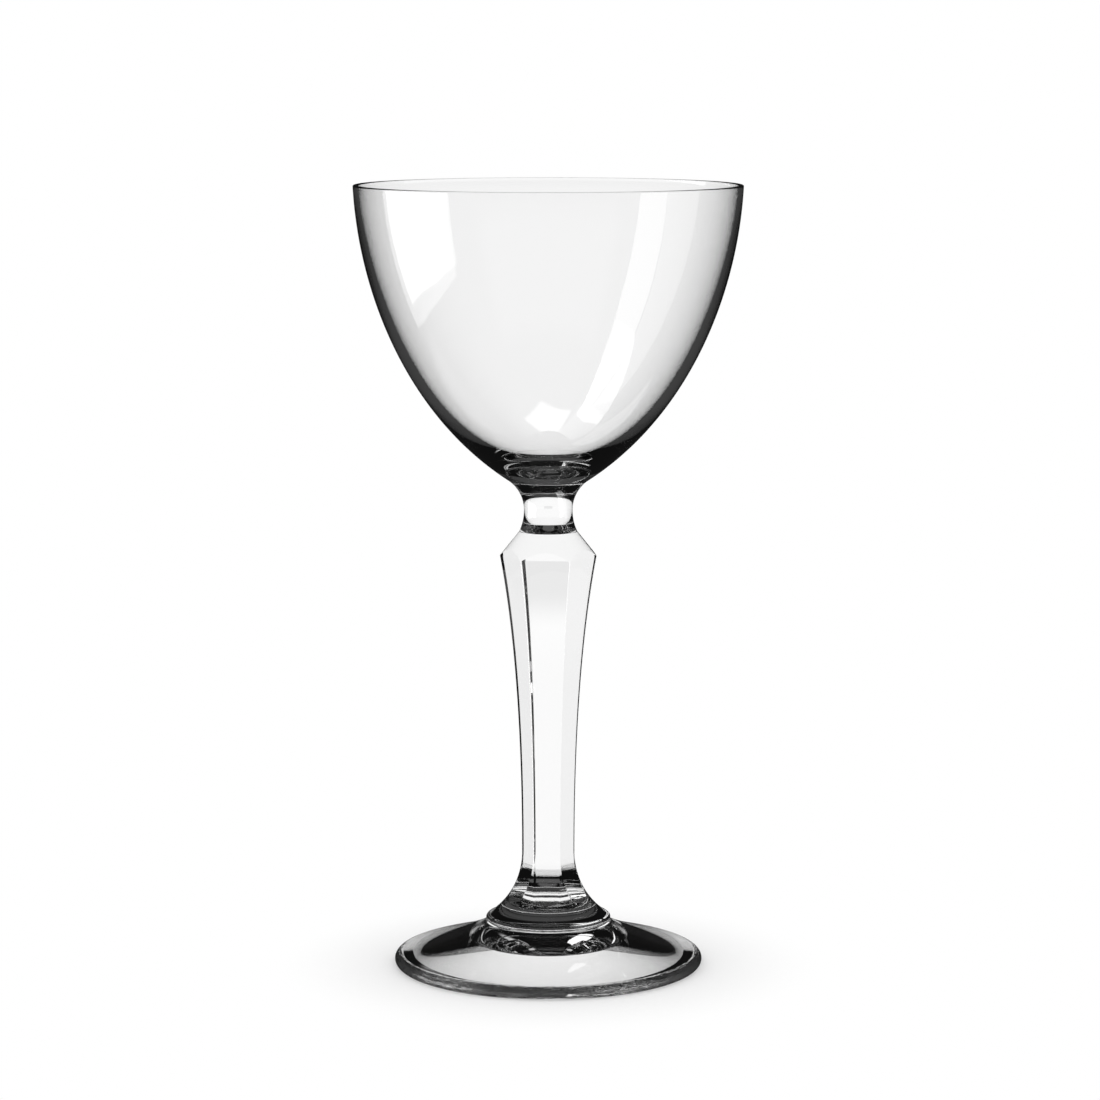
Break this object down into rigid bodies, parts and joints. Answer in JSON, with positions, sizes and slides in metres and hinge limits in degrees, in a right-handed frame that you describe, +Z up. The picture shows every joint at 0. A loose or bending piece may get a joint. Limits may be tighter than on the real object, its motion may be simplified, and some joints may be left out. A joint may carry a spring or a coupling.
{
  "type": "nick and nora glass",
  "caption": "Stemmed cocktail glass with a deep tulip bowl, a waisted neck, a faceted pressed stem, a beaded collar and a low domed foot; holds a short drink.",
  "frame": {"origin": "centre of the ring that the foot stands on, on the table", "axes": "+Z up along the axis of the glass; -Y is the side that a flat face of the stem looks to"},
  "size_m": [0.076, 0.076, 0.155],
  "materials": {
    "clear_glass": "clear colourless glass, fire polished"
  },
  "bodies": {
    "root": {"bowl": "clear_glass", "neck": "clear_glass", "stem": "clear_glass", "collar": "clear_glass", "foot": "clear_glass"}
  },
  "joints": []
}
